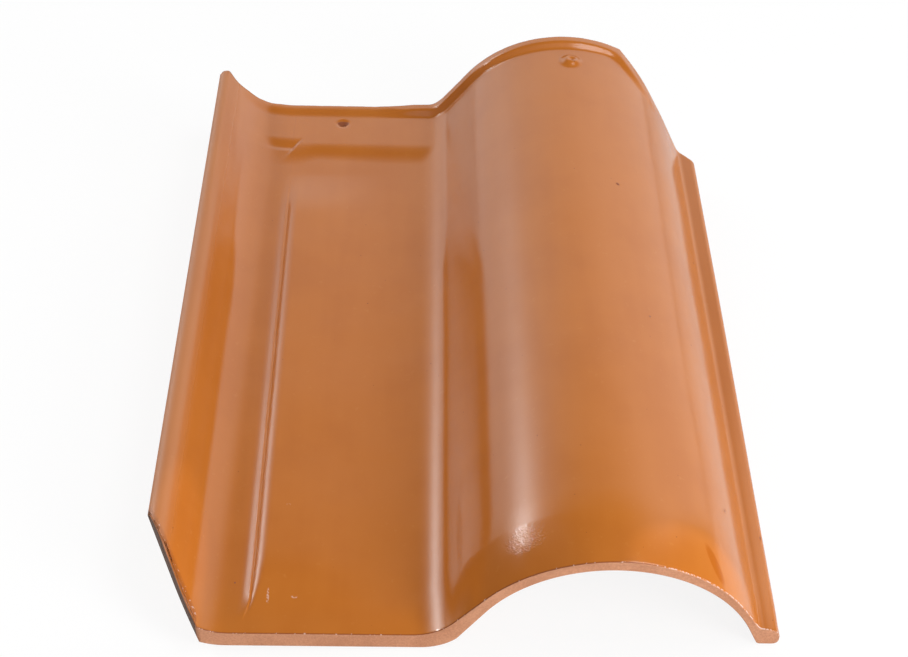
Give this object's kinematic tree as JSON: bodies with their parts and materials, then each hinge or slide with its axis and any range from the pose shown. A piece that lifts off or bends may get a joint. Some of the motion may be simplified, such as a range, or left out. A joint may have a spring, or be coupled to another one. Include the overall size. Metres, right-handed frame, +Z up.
{
  "type": "clay roof tile",
  "caption": "Glazed clay roof tile: flat water pan with raised side lip and seat rib, beside a round roll that covers the next tile's lip.",
  "frame": {"origin": "middle of the tile's bounding box in plan, on the floor it lies on", "axes": "+Y along the tile from the nose (exposed end) to the head, +X from the side lip to the roll's toe, +Z up from the floor; the tile lies as it rests unheld, on a batten nib, the pan's foot and the roll's toe, so its pan leans about 2 degrees"},
  "size_m": [0.2994, 0.4216, 0.0787],
  "materials": {
    "glazed_clay": "glossy orange-brown honey glaze over terracotta, bare clay on the cut ends"
  },
  "bodies": {
    "root": {"roof_tile": "glazed_clay"}
  },
  "joints": []
}
